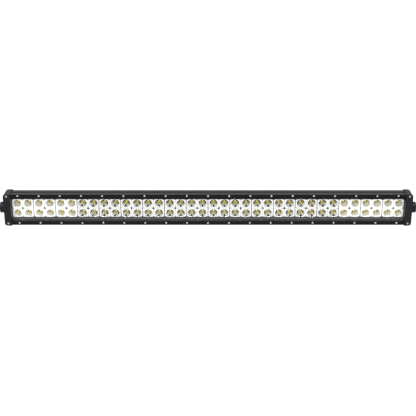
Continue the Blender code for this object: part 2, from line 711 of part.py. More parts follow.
def add_bolt_set(word, side, frame):
    """The M8 bolt and its washers, on an empty on the bolt's axis at the boss's recessed seat."""
    turn = 0.0 if side > 0 else math.pi
    seat = (side * (BOSS_X - BOSS_RECESS), BOSS_Y, 0.0)
    axis = add_empty(f"{word}_bolt_axis", seat, frame)
    axis.rotation_euler = (0.0, 0.0, turn)
    hole_r = BOLT_R + GAP
    washer = turned(tube_profile(GAP, GAP + WASHER_THICK, hole_r, WASHER_R), BOSS_SIDES)
    name = f"{word}_flat_washer"
    add_piece(name, mesh_from(washer, name, smooth=True), "stainless_steel", axis)
    outer_r = hole_r + SPRING_WASHER_WALL
    spring = split_ring(hole_r, outer_r, SPRING_WASHER_THICK, SPRING_WASHER_SLIT)
    name = f"{word}_spring_washer"
    spring_x = 2 * GAP + WASHER_THICK
    mesh = mesh_from(spring, name, smooth=True)
    add_piece(name, mesh, "stainless_steel", axis, (spring_x, 0.0, 0.0))
    head_x = spring_x + SPRING_WASHER_THICK + GAP
    head = turned(rod_profile(head_x, head_x + BOLT_HEAD, BOLT_HEAD_ACROSS / math.sqrt(3)), 6)
    name = f"{word}_mounting_bolt"
    bolt = add_piece(name, mesh_from(head, name), "stainless_steel", axis)
    shank = turned(rod_profile(-BOLT_BITE, head_x + BOLT_HEAD / 2, BOLT_R), PIPE_SIDES)
    combine(bolt, add_tool(f"{name}_shank", shank, axis), "UNION")


def nut_profile(seal_end):
    """The gland nut: a skirt over the neck and the seal, and a nose that narrows to the cord."""
    inner = GLAND_THREAD_R + GAP
    outer = inner + NUT_WALL
    nose_r = CORD_HOLE_R + GAP
    nose_from = seal_end + GAP
    nose_to = nose_from + NUT_NOSE
    skirt_from = GLAND_FLANGE + GAP
    profile = [(skirt_from, inner), (skirt_from, outer), (seal_end, outer)]
    profile += [(nose_to, nose_r + NUT_WALL), (nose_to, nose_r)]
    return profile + [(nose_from, nose_r), (nose_from, inner)]


def add_gland(frame):
    """Cable gland: a body screwed through the chamber's rear wall, a seal and a nut, all along +Y."""
    place = (GLAND_X, MILLED_Y + GAP, 0.0)
    turn = math.pi / 2
    neck_r = GLAND_THREAD_R
    neck_x = GLAND_FLANGE + GLAND_NECK
    tail_x = -CHAMBER_WALL - GLAND_TAIL
    body = turned(tube_profile(tail_x, neck_x, neck_r - GLAND_WALL, neck_r), PIPE_SIDES)
    mesh = mesh_from(body, "gland_body", smooth=True)
    piece = add_piece("gland_body", mesh, "black_nylon", frame, place, turn)
    flange = turned(tube_profile(0.0, GLAND_FLANGE, neck_r - GLAND_WALL / 2, GLAND_FLANGE_R), 6)
    combine(piece, add_tool("gland_body_flange", flange, frame, place, turn), "UNION")
    seal_x = neck_x + GAP
    seal_end = seal_x + SEAL_LENGTH
    seal = turned(tube_profile(seal_x, seal_end, CORD_HOLE_R, neck_r), PIPE_SIDES)
    mesh = mesh_from(seal, "gland_seal", smooth=True)
    add_piece("gland_seal", mesh, "black_rubber", frame, place, turn)
    nut = turned(nut_profile(seal_end), PIPE_SIDES)
    mesh = mesh_from(nut, "gland_nut", smooth=True)
    add_piece("gland_nut", mesh, "black_nylon", frame, place, turn)


def add_vent(frame):
    """Breather vent: a threaded stem with a round cap that shields its membrane."""
    place = (VENT_X, MILLED_Y + GAP, 0.0)
    tail_x = -CHAMBER_WALL - GLAND_TAIL
    profile = [(tail_x, 0.0), (tail_x, VENT_THREAD_R), (0.0, VENT_THREAD_R), (0.0, VENT_HEAD_R)]
    profile += [(VENT_HEAD * 0.8, VENT_HEAD_R), (VENT_HEAD, VENT_HEAD_R * 0.8), (VENT_HEAD, 0.0)]
    mesh = mesh_from(turned(profile, PIPE_SIDES), "breather_vent", smooth=True)
    add_piece("breather_vent", mesh, "black_nylon", frame, place, math.pi / 2)


def build():
    clear_scene()
    frame = add_empty("bar_frame", (0.0, (CAP_FRONT_PROUD - CAP_REAR_Y) / 2, CAP_Z))
    add_housing(frame)
    add_strip("bezel_strip_top", 1, frame)
    add_strip("bezel_strip_bottom", -1, frame)
    add_lens(frame)
    add_lens_gasket(frame)
    add_reflectors(frame)
    add_led_boards(frame)
    add_driver_board(frame)
    for word, side in (("left", -1), ("right", 1)):
        add_cap(f"end_cap_{word}", side, frame)
        add_end_gasket(f"end_gasket_{word}", side, frame)
        add_bolt_set(word, side, frame)
    add_screws(frame)
    add_gland(frame)
    add_vent(frame)


build()
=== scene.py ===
# %% [markdown]
# # A double-row LED light bar
# The bar is a finned aluminium extrusion with a clear lens clamped to its front by two screwed strips. Behind
# the lens sit 18 bright reflector modules with four cups each, 12 for a far spot beam and 6 for a wide flood
# beam. The solids were already designed, so this script starts from them and makes only what the eye sees.

# %% Load the designed solids
import math

import bmesh
import bpy
import numpy as np
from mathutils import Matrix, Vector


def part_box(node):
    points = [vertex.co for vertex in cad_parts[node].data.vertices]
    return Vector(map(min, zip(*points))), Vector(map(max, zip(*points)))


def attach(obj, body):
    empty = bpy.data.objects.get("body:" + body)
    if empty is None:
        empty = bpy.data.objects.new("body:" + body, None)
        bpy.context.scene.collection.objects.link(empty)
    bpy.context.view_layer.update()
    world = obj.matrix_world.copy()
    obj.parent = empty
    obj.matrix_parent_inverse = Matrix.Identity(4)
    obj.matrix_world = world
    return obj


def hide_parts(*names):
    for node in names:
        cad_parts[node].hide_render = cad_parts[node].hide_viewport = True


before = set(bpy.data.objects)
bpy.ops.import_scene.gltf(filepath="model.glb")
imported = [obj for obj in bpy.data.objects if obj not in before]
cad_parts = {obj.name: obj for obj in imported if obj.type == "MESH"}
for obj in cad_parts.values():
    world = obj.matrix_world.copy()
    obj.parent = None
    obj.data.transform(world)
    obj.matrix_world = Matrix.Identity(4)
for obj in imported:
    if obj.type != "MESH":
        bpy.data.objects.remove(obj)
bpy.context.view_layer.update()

MM = 0.001

# %% [markdown]
# ## Where things are
# Most places are read from the designed solids, so the fine pieces land exactly on them. Depths are measured
# back from the strips' front face, and heights from the middle line, as a fitter would with a caliper. Plain
# numbers are millimetres.

# %% Read the main places
strip_low, strip_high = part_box("bezel_strip_top")
housing_low, housing_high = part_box("housing")
cap_low, cap_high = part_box("end_cap_right")
FRONT = strip_low.y
MIDDLE = (housing_low.z + housing_high.z) / 2
STRIP_END = strip_high.x
CAP_INNER = cap_low.x
CUP_PITCH = 25.0  # along the bar, two to a reflector module
ROW_HEIGHT = 12.0  # of a row of cups above or below the middle line


def at(x, depth, height):
    """A point from millimetres along the bar, behind the strips' front and above the middle line."""
    return np.array([x * MM, FRONT + depth * MM, MIDDLE + height * MM])


print("strips' front at", round(FRONT / MM, 2), "mm, middle line at", round(MIDDLE / MM, 2), "mm")

# %% [markdown]
# ## The camera
# The bar is seen from the front and from about 22 degrees above it, through a lens of 77 mm on a 36 mm sensor
# two metres away. That flattens the perspective but still shows the top of the housing.

# %% Place the camera
CAMERA_DISTANCE = 2.05
CAMERA_ELEVATION = math.radians(22.0)
aim = at(0.0, 10.0, 0.5)
offset = np.array([0.0, -math.cos(CAMERA_ELEVATION), math.sin(CAMERA_ELEVATION)]) * CAMERA_DISTANCE
camera_data = bpy.data.cameras.new("camera")
camera_data.lens = 77.3
camera_data.sensor_width = 36.0
camera = bpy.data.objects.new("camera", camera_data)
camera.location = aim + offset
camera.rotation_euler = (math.pi / 2 - CAMERA_ELEVATION, 0.0, 0.0)
bpy.context.scene.collection.objects.link(camera)
bpy.context.scene.camera = camera
print("camera at", [round(v, 3) for v in camera.location])

# %% [markdown]
# ## Surfaces from grids
# Nearly every piece here is a surface worked out from two numbers, such as an angle and a place along a
# profile. A grid of points and the quads between them hold such a surface. Whole arrays are computed at once,
# which is fast and keeps each shape's formula readable.


# %% Grid and mesh helpers
def grid(points, wrap_rows=False, wrap_columns=True, ends=False):
    """Quads between neighbours in a (rows, columns, 3) array. ends=True fills the first and last rows."""
    rows, columns = points.shape[:2]
    row = np.arange(rows if wrap_rows else rows - 1)[:, None]
    column = np.arange(columns if wrap_columns else columns - 1)[None, :]
    here, below = row * columns, (row + 1) % rows * columns
    beside = (column + 1) % columns
    corners = [here + column, here + beside, below + beside, below + column]
    faces = np.stack(corners, axis=-1).reshape(-1, 4).tolist()
    if ends:
        faces.append(list(range(columns)))
        faces.append(list(range((rows - 1) * columns, rows * columns)))
    return points.reshape(-1, 3), faces


def joined_mesh(name, surfaces, sharp=35.0):
    """One mesh from several surfaces: doubles merged, faces pointing out, edges over an angle kept sharp."""
    points = np.concatenate([p for p, _ in surfaces])
    starts = np.cumsum([0] + [len(p) for p, _ in surfaces])
    parts = zip(starts.tolist(), surfaces)
    faces = [[start + corner for corner in face] for start, (_, part) in parts for face in part]
    mesh = bpy.data.meshes.new(name)
    mesh.from_pydata(points.tolist(), [], faces)
    shape = bmesh.new()
    shape.from_mesh(mesh)
    bmesh.ops.remove_doubles(shape, verts=shape.verts, dist=0.001 * MM)
    bmesh.ops.recalc_face_normals(shape, faces=shape.faces)
    shape.to_mesh(mesh)
    shape.free()
    mesh.shade_smooth()
    mesh.set_sharp_from_angle(angle=math.radians(sharp))
    return mesh


def add_to_scene(name, mesh):
    made = bpy.data.objects.new(name, mesh)
    bpy.context.scene.collection.objects.link(made)
    return made


def finish(piece, material, body="bar", nodes=()):
    """Gives a piece its material, its finish's slot, the body it rides on and the solids it replaces."""
    piece.data.materials.clear()
    piece.data.materials.append(material)
    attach(piece, body)
    if nodes:
        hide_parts(*nodes)
    return piece


def directions(axis):
    """Two unit vectors square to a row axis and to each other."""
    axis = np.array(axis, float)
    first = np.array([0.0, 0.0, 1.0]) if abs(axis[2]) < 0.5 else np.array([1.0, 0.0, 0.0])
    return axis, first, np.cross(axis, first)


def around(heights, radii, centre, axis, turn=0.0):
    """Points at centre + height * axis + radius * (cos a, sin a) across it.

    heights has one value per row, or one per row and column, and so has radii. Columns run round the axis.
    """
    columns = radii.shape[1]
    angle = turn + np.linspace(0.0, 2 * np.pi, columns, endpoint=False)
    axis, first, second = directions(axis)
    across = np.cos(angle)[:, None] * first + np.sin(angle)[:, None] * second
    heights = np.broadcast_to(heights if heights.ndim == 2 else heights[:, None], radii.shape)
    return np.asarray(centre) + heights[..., None] * axis + radii[..., None] * across


def turned(profile, centre, axis, columns=48, ring=False):
    """A turned body from (height, radius) pairs in millimetres. A ring's profile is a closed loop."""
    profile = np.array(profile, float) * MM
    radii = np.repeat(profile[:, 1:], columns, axis=1)
    return grid(around(profile[:, 0], radii, centre, axis), wrap_rows=ring)


def arc(centre, radius, start, stop, steps=5):
    """Points on a circle between two angles in degrees, as (first, second) pairs."""
    angle = np.radians(np.linspace(start, stop, steps))
    return np.stack([centre[0] + radius * np.cos(angle), centre[1] + radius * np.sin(angle)], axis=1)


def rounded(corners, radius, steps=4):
    """A closed outline with each corner replaced by an arc of a quadratic curve that starts radius away."""
    corners = np.array(corners, float)
    to_last = np.roll(corners, 1, axis=0) - corners
    to_next = np.roll(corners, -1, axis=0) - corners
    start = corners + radius * to_last / np.linalg.norm(to_last, axis=1, keepdims=True)
    stop = corners + radius * to_next / np.linalg.norm(to_next, axis=1, keepdims=True)
    t = np.linspace(0.0, 1.0, steps)[None, :, None]
    curve = (1 - t) ** 2 * start[:, None] + 2 * t * (1 - t) * corners[:, None] + t**2 * stop[:, None]
    return curve.reshape(-1, 2)


def carried(outline, x_places):
    """A (depth, height) outline in millimetres carried along the bar. It may change from place to place."""
    outline = np.broadcast_to(outline, (len(x_places), *np.shape(outline)[-2:]))
    x = np.broadcast_to(np.array(x_places, float)[:, None], outline.shape[:2])
    points = np.stack([x * MM, FRONT + outline[..., 0] * MM, MIDDLE + outline[..., 1] * MM], axis=-1)
    return grid(points, ends=True)


def settled(piece):
    """Replaces a piece's mesh with what its modifiers make of it."""
    bpy.context.view_layer.update()
    seen = piece.evaluated_get(bpy.context.evaluated_depsgraph_get())
    mesh = bpy.data.meshes.new_from_object(seen)
    piece.modifiers.clear()
    piece.data = mesh
    return piece


def cut_or_joined(piece, tools, operation, sharp=35.0):
    """Cuts each tool out of a piece, or joins it on, then throws the tools away."""
    helpers = [add_to_scene(f"{piece.name}_tool", joined_mesh("tool", tool)) for tool in tools]
    for helper in helpers:
        change = piece.modifiers.new(helper.name, "BOOLEAN")
        change.operation = operation
        change.solver = "EXACT"
        change.object = helper
    settled(piece)
    for helper in helpers:
        bpy.data.objects.remove(helper, do_unlink=True)
    piece.data.shade_smooth()
    piece.data.set_sharp_from_angle(angle=math.radians(sharp))
    return piece


def edges_softened(piece, width, angle=40.0):
    """Rounds the sharp edges, as a coat of powder or a tumbled casting does."""
    bevel = piece.modifiers.new("edge_radius", "BEVEL")
    bevel.width = width * MM
    bevel.segments = 2
    bevel.limit_method = "ANGLE"
    bevel.angle_limit = math.radians(angle)
    return settled(piece)


print("helpers ready")

# %% [markdown]
# ## Materials
# Each finish starts from what the real one is. Colours are given as the sRGB hex values a designer would pick
# and turned to linear light once. Patterns are sized in millimetres and read Object coordinates, which are
# metres here because every piece sits at the origin.


def linear(colour):
    """An sRGB hex colour as linear RGBA."""
    channels = np.array([int(colour[i:i + 2], 16) for i in (1, 3, 5)]) / 255
    curve = np.where(channels <= 0.04045, channels / 12.92, ((channels + 0.055) / 1.055) ** 2.4)
    return (*curve.tolist(), 1.0)


def add_node(tree, kind, inputs=(), **settings):
    """Adds a node. inputs maps socket names or numbers to a value or to the socket that feeds it."""
    node = tree.nodes.new(kind)
    for name, value in settings.items():
        setattr(node, name, value)
    for name, value in dict(inputs).items():
        if isinstance(value, bpy.types.NodeSocket):
            tree.links.new(value, node.inputs[name])
        else:
            node.inputs[name].default_value = value
    return node


def new_material(name):
    """An empty material, its node tree and its Object coordinates."""
    material = bpy.data.materials.new(name)
    material.use_nodes = True
    tree = material.node_tree
    tree.nodes.clear()
    place = add_node(tree, "ShaderNodeTexCoord").outputs["Object"]
    return material, tree, place


def per_mm(size):
    """Texture scale for a feature of this size in millimetres."""
    return 1.0 / (size * MM)


def noise(tree, place, size, detail):
    """Noise with features of this size in millimetres."""
    inputs = {"Vector": place, "Scale": per_mm(size), "Detail": detail}
    return add_node(tree, "ShaderNodeTexNoise", inputs).outputs["Fac"]


def tone_between(tree, factor, dark, light):
    """A colour that drifts between two hex colours."""
    tone = add_node(tree, "ShaderNodeMix", {"Factor": factor}, data_type="RGBA")
    tone.inputs[6].default_value = linear(dark)
    tone.inputs[7].default_value = linear(light)
    return tone.outputs[2]


def value_between(tree, factor, low, high):
    """A number that drifts between two."""
    inputs = {"Value": factor, "To Min": low, "To Max": high}
    return add_node(tree, "ShaderNodeMapRange", inputs).outputs["Result"]


def relief(tree, height, strength, depth):
    """The normal of a surface with bumps this many millimetres deep."""
    inputs = {"Height": height, "Strength": strength, "Distance": depth * MM}
    return add_node(tree, "ShaderNodeBump", inputs).outputs["Normal"]


def shown(material, tree, shader):
    """Sends a shader to the material's output and notes the finish that it stands for."""
    add_node(tree, "ShaderNodeOutputMaterial", {"Surface": shader.outputs[0]})
    print("material:", material.name)


print("colour and node helpers ready")

# %% [markdown]
# ### Black powder coat on aluminium
# Powder is sprayed on dry, melts in an oven and flows out into a skin 0.08 mm thick. It leaves a faint orange
# peel about a millimetre across and a satin gloss that differs a little from place to place. The eye reads it
# as a deep black with soft, wide highlights along the edges. The cast caps are given a duller coat, a shade
# lighter than the one on the smooth extrusions.
# Both have a fifth of a real coat's specular level, which keeps the bar a deep black under this light.

# %% Black powder coat
def coated(name, dark, light, smooth, rough, peel_depth):
    """Powder coat whose tone and roughness drift between two values, over an orange peel in millimetres."""
    coat, tree, place = new_material(name)
    cloud = noise(tree, place, 30.0, 4.0)
    shader = add_node(tree, "ShaderNodeBsdfPrincipled", {
        "Base Color": tone_between(tree, cloud, dark, light),
        "Roughness": value_between(tree, cloud, smooth, rough),
        "Normal": relief(tree, noise(tree, place, 1.2, 3.0), 0.25, peel_depth),
        "Specular IOR Level": 0.1,
    })
    shown(coat, tree, shader)
    return coat


powder_coat = coated("black_powder_coat", "#08080A", "#0E0E10", 0.26, 0.36, 0.05)
cast_coat = coated("black_powder_coat_on_casting", "#151518", "#1C1C1F", 0.32, 0.44, 0.09)

# %% [markdown]
# ### Metallised ABS
# Each reflector is an ABS moulding with a thin film of aluminium on it, put on in a vacuum and sealed with
# clear lacquer. It mirrors almost as well as glass. The flood cups carry a fine grain that spreads the beam.

# %% Metallised ABS, mirror and grained
def metallised(name, colour, roughness, size, detail, strength):
    """Bright film over ripples or grain of a size in millimetres, a tenth of a millimetre deep."""
    film, tree, place = new_material(name)
    shader = add_node(tree, "ShaderNodeBsdfPrincipled", {
        "Base Color": linear(colour),
        "Metallic": 1.0,
        "Roughness": roughness,
        "Normal": relief(tree, noise(tree, place, size, detail), strength, 0.1),
    })
    shown(film, tree, shader)
    return film


mirror_film = metallised("metallised_abs_mirror", "#E4E4E1", 0.03, 9.0, 1.0, 0.1)
grained_film = metallised("metallised_abs_grained", "#FAFAF6", 0.42, 0.7, 2.0, 0.5)

# %% [markdown]
# ### Clear polycarbonate
# The lens is a flat extruded sheet of polycarbonate, 3 mm thick, with an index of 1.58. It mirrors about five
# parts in a hundred face on and more at a glance. As a flat pane it bends nothing that can be seen, so it is
# a mix of see-through and gloss, which also lets the light reach the cups. The gloss counts only where a ray
# meets the sheet from outside. From inside, a ray at a flat angle would be turned back, and the pane would
# look milky from the side.

# %% Clear polycarbonate
LENS_INDEX = 1.58
lens_sheet, tree, place = new_material("clear_polycarbonate")
clear = add_node(tree, "ShaderNodeBsdfTransparent", {"Color": linear("#FEFEFE")})
face = add_node(tree, "ShaderNodeBsdfPrincipled", {
    "Base Color": linear("#E6E6E8"),
    "Roughness": value_between(tree, noise(tree, place, 60.0, 2.0), 0.03, 0.08),
    "IOR": LENS_INDEX,
})
grazing = add_node(tree, "ShaderNodeFresnel", {"IOR": LENS_INDEX}).outputs["Fac"]
inside = add_node(tree, "ShaderNodeNewGeometry").outputs["Backfacing"]
outside = add_node(tree, "ShaderNodeMath", {0: 1.0, 1: inside}, operation="SUBTRACT").outputs[0]
gloss = add_node(tree, "ShaderNodeMath", {0: grazing, 1: outside}, operation="MULTIPLY").outputs[0]
pane = add_node(tree, "ShaderNodeMixShader", {0: gloss, 1: clear.outputs[0], 2: face.outputs[0]})
shown(lens_sheet, tree, pane)

# %% [markdown]
# ### Dull mouldings: silicone, rubber and nylon
# The flat seal under the lens is die-cut from grey silicone sheet, and the end seals from black EPDM. Both
# are dull, with a fine dusty grain and no clear highlight. The cable gland and the vent are glass-filled
# nylon, whose fibres reach the surface and leave it matt and slightly mottled.

# %% Silicone, rubber and nylon
def dull(name, dark, light, roughness, size, detail, strength, depth):
    """A matt moulding, its tone and its relief from one grain. size and depth are in millimetres."""
    moulding, tree, place = new_material(name)
    grain = noise(tree, place, size, detail)
    shader = add_node(tree, "ShaderNodeBsdfPrincipled", {
        "Base Color": tone_between(tree, grain, dark, light),
        "Roughness": roughness,
        "Normal": relief(tree, grain, strength, depth),
    })
    shown(moulding, tree, shader)
    return moulding


grey_silicone = dull("grey_silicone", "#3A3A39", "#494947", 0.75, 0.8, 5.0, 0.3, 0.05)
black_epdm = dull("black_epdm", "#1A1A1A", "#262626", 0.75, 0.8, 5.0, 0.3, 0.05)
nylon = dull("glass_filled_nylon", "#1B1B1C", "#2B2B2C", 0.55, 0.5, 4.0, 0.25, 0.03)

# %% [markdown]
# ### Screw steel
# The bolts, the washers and most screws are plain stainless steel. Cold heading and tumbling leave it satin,
# with fine random scratches that scatter the highlight. It is slightly warmer than chrome. The small screws
# in the reflector modules are taken as blackened steel, because they read dark between the bright cups.

# %% Stainless and blackened steel
stainless, tree, place = new_material("stainless_steel")
scratch = noise(tree, place, 0.9, 6.0)
shader = add_node(tree, "ShaderNodeBsdfPrincipled", {
    "Base Color": linear("#D3CFC7"),
    "Metallic": 1.0,
    "Roughness": value_between(tree, scratch, 0.22, 0.42),
    "Normal": relief(tree, scratch, 0.15, 0.03),
})
shown(stainless, tree, shader)

blackened, tree, place = new_material("blackened_steel")
shader = add_node(tree, "ShaderNodeBsdfPrincipled", {
    "Base Color": linear("#2A2A2B"),
    "Metallic": 0.6,
    "Roughness": value_between(tree, noise(tree, place, 0.7, 4.0), 0.3, 0.5),
})
shown(blackened, tree, shader)

# %% [markdown]
# ### Circuit boards, LED packages and phosphor
# The LED boards are aluminium with a dark solder mask. Each LED is a ceramic package with a yellow phosphor
# under a clear silicone dome, which makes the phosphor look large and glossy. The phosphor has a faint
# painted glow, standing for the light it turns yellow, though the lamp is off. The driver board is green
# glass epoxy, with copper tracks that show through the mask as a fine grid.

# %% Solder mask, ceramic, phosphor and driver board
def board_finish(name, dark, light, size, gloss):
    """A mottled finish on the LED boards. gloss holds the shader's other sockets, and for the phosphor also
    its painted glow.
    """
    made, tree, place = new_material(name)
    tone = tone_between(tree, noise(tree, place, size, 2.0), dark, light)
    shader = add_node(tree, "ShaderNodeBsdfPrincipled", {"Base Color": tone, **gloss})
    shown(made, tree, shader)
    return made


solder_mask = board_finish("dark_solder_mask", "#40413A", "#52534A", 0.6, {"Roughness": 0.35})
ceramic = board_finish("led_package_ceramic", "#5A5A50", "#6E6E64", 0.3, {"Roughness": 0.5})
phosphor = board_finish("yellow_phosphor_with_painted_glow", "#E2D258", "#F2E480", 0.2, {
    "Roughness": 0.5,
    "Coat Weight": 1.0,
    "Coat Roughness": 0.03,
    "Coat IOR": 1.41,
    # A painted glow: the phosphor shines although the lamp is off and it is no light source.
    "Emission Color": linear("#EADB72"),
    "Emission Strength": 0.45,
})

driver_board, tree, place = new_material("green_driver_board")
tracks = add_node(tree, "ShaderNodeTexBrick", {
    "Vector": place,
    "Scale": per_mm(8.0),
    "Color1": linear("#0E5A2C"),
    "Color2": linear("#116734"),
    "Mortar": linear("#2C8A4C"),
    "Mortar Size": 0.06,
})
shader = add_node(tree, "ShaderNodeBsdfPrincipled", {"Base Color": tracks.outputs["Color"], "Roughness": 0.4})
shown(driver_board, tree, shader)

# %% [markdown]
# ## Housing
# The housing is one length of extruded aluminium, with fins behind to shed heat and two faces milled flat for
# the gland and the vent. Its section is already right, so a copy of the solid gets only what powder coating
# adds: every sharp edge rounded by a third of a millimetre, which catches a thin line of light.


# %% Housing and flat seals
def softened_copy(name, node, width, angle=40.0):
    """A copy of a solid with rounded edges, its triangles first rejoined into flat faces."""
    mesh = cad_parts[node].data.copy()
    mesh.name = name
    shape = bmesh.new()
    shape.from_mesh(mesh)
    bmesh.ops.remove_doubles(shape, verts=shape.verts, dist=0.001 * MM)
    bmesh.ops.dissolve_limit(shape, angle_limit=math.radians(1.0), verts=shape.verts, edges=shape.edges)
    shape.to_mesh(mesh)
    shape.free()
    piece = edges_softened(add_to_scene(name, mesh), width, angle)
    piece.data.shade_smooth()
    piece.data.set_sharp_from_angle(angle=math.radians(35.0))
    return piece


EDGE = 0.35
housing = finish(softened_copy("finned_housing", "housing", EDGE), powder_coat, nodes=["housing"])
print("housing faces:", len(housing.data.polygons))

kept_nodes = (
    ("lens", lens_sheet),
    ("lens_gasket", grey_silicone),
    ("end_gasket_left", black_epdm),
    ("end_gasket_right", black_epdm),
    ("driver_board", driver_board),
)
for node, material in kept_nodes:
    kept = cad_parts[node]
    kept.data.materials.clear()
    kept.data.materials.append(material)
print("kept solids:", [node for node, _ in kept_nodes])

# %% [markdown]
# ## Clamping strips
# Two flat bars press the lens on its seal. Each has 19 counterbored holes. The bar is a rounded section
# carried along X, and each hole is a turned cutter whose mouth flares out, so that its edge is rounded too.

# %% Clamping strips
GAP = 0.3  # left between pieces that touch
STRIP_THICK = (housing_low.y - FRONT) / MM - GAP
STRIP_INNER = (strip_low.z - MIDDLE) / MM
STRIP_OUTER = (strip_high.z - MIDDLE) / MM
STRIP_LENGTH = STRIP_END / MM
STRIP_BEVEL = 1.2
SCREW_LINE = STRIP_OUTER - 5.0
RECESS_RADIUS = 3.6
RECESS_DEPTH = 2.2
HOLE_RADIUS = 1.8
STRIP_SCREWS = 19
END_SCREW_INSET = 16.8  # from the lit field's end, one gap beyond the strip's
screw_reach = STRIP_LENGTH + GAP - END_SCREW_INSET
screw_places = np.linspace(-screw_reach, screw_reach, STRIP_SCREWS)


def counterbore(x, depth, height, through, flare=0.3):
    """A cutter along +Y for a screw hole with a recess, its mouth flared by a quarter circle."""
    mouth = arc((flare, RECESS_RADIUS + flare), flare, 180.0, 270.0, 4)[::-1]
    profile = [(-1.0, 0.0), (-1.0, RECESS_RADIUS + flare), (0.0, RECESS_RADIUS + flare)]
    profile += [(flare - (p[1] - RECESS_RADIUS), RECESS_RADIUS + flare - p[0]) for p in mouth[1:-1]]
    profile += [(flare, RECESS_RADIUS), (RECESS_DEPTH, RECESS_RADIUS), (RECESS_DEPTH, HOLE_RADIUS)]
    profile += [(through, HOLE_RADIUS), (through, 0.0)]
    return turned(profile, at(x, depth, height), (0, 1, 0), columns=32)


for word, side in (("top", 1), ("bottom", -1)):
    corners = [(0.0, STRIP_INNER + STRIP_BEVEL), (STRIP_BEVEL, STRIP_INNER), (STRIP_THICK, STRIP_INNER)]
    corners += [(STRIP_THICK, STRIP_OUTER), (STRIP_BEVEL, STRIP_OUTER), (0.0, STRIP_OUTER - STRIP_BEVEL)]
    section = rounded(corners, EDGE) * (1, side)
    bar = joined_mesh(f"clamping_strip_{word}", [carried(section, (-STRIP_LENGTH, STRIP_LENGTH))])
    strip = add_to_scene(f"clamping_strip_{word}", bar)
    cutters = [counterbore(x, 0.0, side * SCREW_LINE, STRIP_THICK + 1.0) for x in screw_places]
    cut_or_joined(strip, [cutters], "DIFFERENCE")
    finish(strip, powder_coat, nodes=[f"bezel_strip_{word}"])
    print(strip.name, "faces:", len(strip.data.polygons))

# %% [markdown]
# ## End caps
# Each cap is a die casting. Its outer edge is rounded everywhere but along the front, over 5 mm of its sides
# and 8 mm of its length. A round boss takes the M8 mounting bolt, and a pocket behind the front flange takes
# the housing's end. The body is lofted: one outline per step along X, each with its sides moved in along a
# quarter of an ellipse. The boss is then joined on, and the pocket and the screw holes are cut.

# %% End caps
SEAL_TO_FACE = 5.5  # from the end seal's inner face to the cap's outer face
CAP_X = (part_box("end_gasket_right")[0].x + SEAL_TO_FACE * MM) / MM
CAP_INNER_X = CAP_INNER / MM
CAP_FRONT = (cap_low.y - FRONT) / MM
CAP_REAR = (cap_high.y - FRONT) / MM
CAP_HALF = (cap_high.z - cap_low.z) / 2 / MM
CAP_LEVEL_TO = 32.5
CAP_REAR_HALF = 20.0
CAP_ROUND = 5.0
CAP_ROUND_ALONG = 8.0
BOSS_X = cap_high.x / MM
BOSS_RADIUS = 12.8
BOSS_DEPTH = 17.0
HOUSING_TOP = (housing_high.z - MIDDLE) / MM
HOUSING_REAR = (housing_high.y - FRONT) / MM
HOUSING_LEVEL_TO = 30.0
HOUSING_REAR_HALF = 18.0
POCKET_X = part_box("end_gasket_right")[1].x / MM + GAP
SIDE_SCREWS = ((17.8, 30.7), (37.7, 23.9))
FLANGE_SCREW_X = CAP_INNER_X + 8.3


def moved_sides(corners, distances):
    """A convex outline with each side moved in by its own distance: corners where the moved lines meet."""
    corners = np.array(corners, float)
    along = np.roll(corners, -1, axis=0) - corners
    along /= np.linalg.norm(along, axis=1, keepdims=True)
    inward = np.stack([-along[:, 1], along[:, 0]], axis=1)
    inward *= np.sign(np.sum((corners.mean(0) - corners) * inward, axis=1, keepdims=True))
    start = corners + inward * np.array(distances, float)[:, None]
    before, before_along = np.roll(start, 1, axis=0), np.roll(along, 1, axis=0)
    gap = start - before
    turn = before_along[:, 0] * along[:, 1] - before_along[:, 1] * along[:, 0]
    t = (gap[:, 0] * along[:, 1] - gap[:, 1] * along[:, 0]) / turn
    return before + before_along * t[:, None]


def mirrored_outline(upper):
    return np.concatenate([upper, (np.array(upper) * (1, -1))[::-1]])


cap_corners = mirrored_outline([(CAP_FRONT, CAP_HALF), (CAP_LEVEL_TO, CAP_HALF), (CAP_REAR, CAP_REAR_HALF)])
pocket_corners = mirrored_outline(
    [(STRIP_THICK, HOUSING_TOP), (HOUSING_LEVEL_TO, HOUSING_TOP), (HOUSING_REAR, HOUSING_REAR_HALF)]
)
pocket = moved_sides(pocket_corners, [-GAP] * 5 + [0.0])


def cap_body(side):
    """The cap's block: straight from its inner face, then rounded over a quarter of an ellipse."""
    angle = np.radians(np.linspace(0.0, 90.0, 9))
    inset = np.concatenate([[0.35, 0.1, 0.0], CAP_ROUND * (1 - np.cos(angle))])
    edge = CAP_X - CAP_ROUND_ALONG
    start = CAP_INNER_X + np.array([0.0, 0.12, 0.35])
    places = np.concatenate([start, edge + CAP_ROUND_ALONG * np.sin(angle)])
    outlines = [
        rounded(moved_sides(cap_corners, [d, d, d, d, d, min(d, 0.35) if x < edge else 0.0]), 1.2, 5)
        for d, x in zip(inset, places)
    ]
    return carried(np.array(outlines), side * places)


def side_hole(side, depth, height):
    """A cutter for one of the four screws that hold the cap, its recess as deep as the head."""
    profile = [(1.0, 0.0), (1.0, 4.1), (0.0, 4.1), (-0.3, 3.8), (-2.1, 3.8)]
    profile += [(-2.1, 2.3), (-15.0, 2.3), (-15.0, 0.0)]
    return turned(profile, at(side * CAP_X, depth, height), (side, 0, 0), columns=32)


def boss(side):
    """The round boss, with a small fillet at its root and a rounded rim."""
    rim = arc((-0.6, BOSS_RADIUS - 0.6), 0.6, 0.0, 90.0, 5)[::-1]
    profile = [(-13.0, 0.0), (-13.0, BOSS_RADIUS + 1.5), (-11.0, BOSS_RADIUS + 1.5)]
    root = arc((-9.5, BOSS_RADIUS + 1.5), 1.5, 180.0, 270.0, 5)
    profile += [(h, r) for h, r in root[1:]]
    profile += [(h, r) for h, r in rim]
    profile += [(0.0, 0.0)]
    return turned(profile, at(side * BOSS_X, BOSS_DEPTH, 0.0), (side, 0, 0), columns=64)


